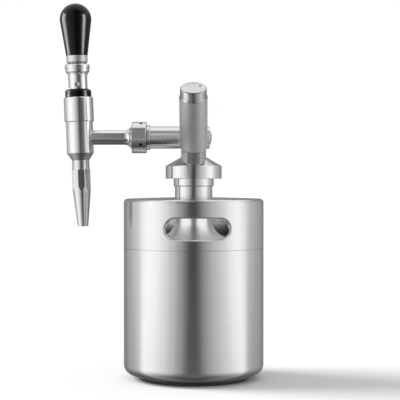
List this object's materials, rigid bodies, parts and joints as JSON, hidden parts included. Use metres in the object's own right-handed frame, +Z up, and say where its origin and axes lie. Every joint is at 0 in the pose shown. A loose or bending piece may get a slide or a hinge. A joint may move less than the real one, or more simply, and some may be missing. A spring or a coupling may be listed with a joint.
{
  "type": "nitro cold brew keg with lever tap",
  "caption": "Steel drinks keg with a finger slot in its upper shell and a screw-on head that carries a knurled gas charger holder, a push relief valve and a lever-operated stout tap.",
  "frame": {"origin": "on the keg's axis at the underside of its pad", "axes": "+Z up along the keg's axis, -X towards the tap, -Y towards the charger holder and the front finger slot"},
  "size_m": [0.1966, 0.135, 0.3616],
  "materials": {
    "brushed": "satin brushed stainless steel",
    "polished": "polished stainless steel",
    "satin": "matte turned stainless steel",
    "black_gloss": "glossy black plastic",
    "black_rubber": "matte black rubber",
    "pale_silicone": "matte pale silicone",
    "spring": "drawn spring wire",
    "brass": "turned brass"
  },
  "bodies": {
    "keg": {"base_pad": "black_rubber", "keg_cup": "brushed", "shoulder_neck": "polished", "handle_shell": "brushed"},
    "cap_seal": {"cap_gasket": "pale_silicone"},
    "head": {"screw_cap": "polished", "tee_tube": "polished", "dip_tube": "brushed", "dip_o_ring": "black_rubber", "charger_port": "satin", "piercing_pin": "satin", "port_seal": "black_rubber", "check_valve": "black_rubber", "relief_seat": "brass", "relief_spring": "spring", "tail_gasket": "black_rubber"},
    "charger": {"gas_charger": "satin"},
    "holder": {"charger_holder": "satin"},
    "relief": {"relief_button": "polished", "relief_stem": "satin", "relief_seal": "black_rubber"},
    "slip": {"slip_ring": "satin"},
    "nut": {"coupling_nut": "satin"},
    "tap": {"tap_shank": "polished", "tap_body": "polished", "bonnet": "polished", "bonnet_ring": "black_gloss", "nozzle": "polished", "restrictor_plate": "satin", "nozzle_gasket": "black_rubber", "return_spring": "spring"},
    "plunger": {"plunger_rod": "satin", "seat_washer": "black_rubber", "plunger_o_ring": "black_rubber"},
    "lever": {"lever_neck": "polished", "pivot_pin": "satin", "lever_stud": "satin", "star_washer": "satin", "handle_ferrule": "satin", "handle_insert": "brass", "tap_handle": "black_gloss"}
  },
  "joints": [
    {"name": "cap_rise", "type": "slide", "parent": "keg", "child": "cap_seal", "axis": [0, 0, 1], "range_m": [0, 0.0045]},
    {"name": "cap_turn", "type": "hinge", "parent": "cap_seal", "child": "head", "pos_m": [0, 0, 0.2], "axis": [0, 0, 1], "range_deg": [0, 540]},
    {"name": "charger_out", "type": "slide", "parent": "head", "child": "charger", "axis": [0, -0.5, 0.866], "range_m": [0, 0.0105]},
    {"name": "holder_turn", "type": "hinge", "parent": "charger", "child": "holder", "pos_m": [0, -0.0184, 0.20999], "axis": [0, -0.5, 0.866], "range_deg": [0, 2520]},
    {"name": "relief_press", "type": "slide", "parent": "head", "child": "relief", "axis": [-1, 0, 0], "range_m": [0, 0.002], "stiffness_N_per_m": 1500, "springref_m": -0.002, "deforming": ["relief_spring"]},
    {"name": "nut_back", "type": "slide", "parent": "head", "child": "slip", "axis": [1, 0, 0], "range_m": [0, 0.0084]},
    {"name": "nut_turn", "type": "hinge", "parent": "slip", "child": "nut", "pos_m": [-0.05, 0, 0.2325], "axis": [1, 0, 0], "range_deg": [0, 2160]},
    {"name": "tap_swivel", "type": "hinge", "parent": "head", "child": "tap", "pos_m": [-0.06, 0, 0.2325], "axis": [1, 0, 0], "range_deg": [-180, 180]},
    {"name": "plunger_lift", "type": "slide", "parent": "tap", "child": "plunger", "axis": [-0.0349, 0, 0.9994], "range_m": [0, 0.0035], "deforming": ["return_spring"]},
    {"name": "lever_pull", "type": "hinge", "parent": "plunger", "child": "lever", "pos_m": [-0.11167, 0, 0.28327], "axis": [0, -1, 0], "range_deg": [0, 40], "stiffness_Nm_per_rad": 0.15, "springref_deg": -34.38}
  ],
  "couplings": [
    {"joint": "cap_rise", "follows": "cap_turn", "m_per_rad": 0.00047746},
    {"joint": "charger_out", "follows": "holder_turn", "m_per_rad": 0.00023873},
    {"joint": "nut_back", "follows": "nut_turn", "m_per_rad": 0.00022282},
    {"joint": "plunger_lift", "follows": "lever_pull", "m_per_rad": 0.005}
  ]
}
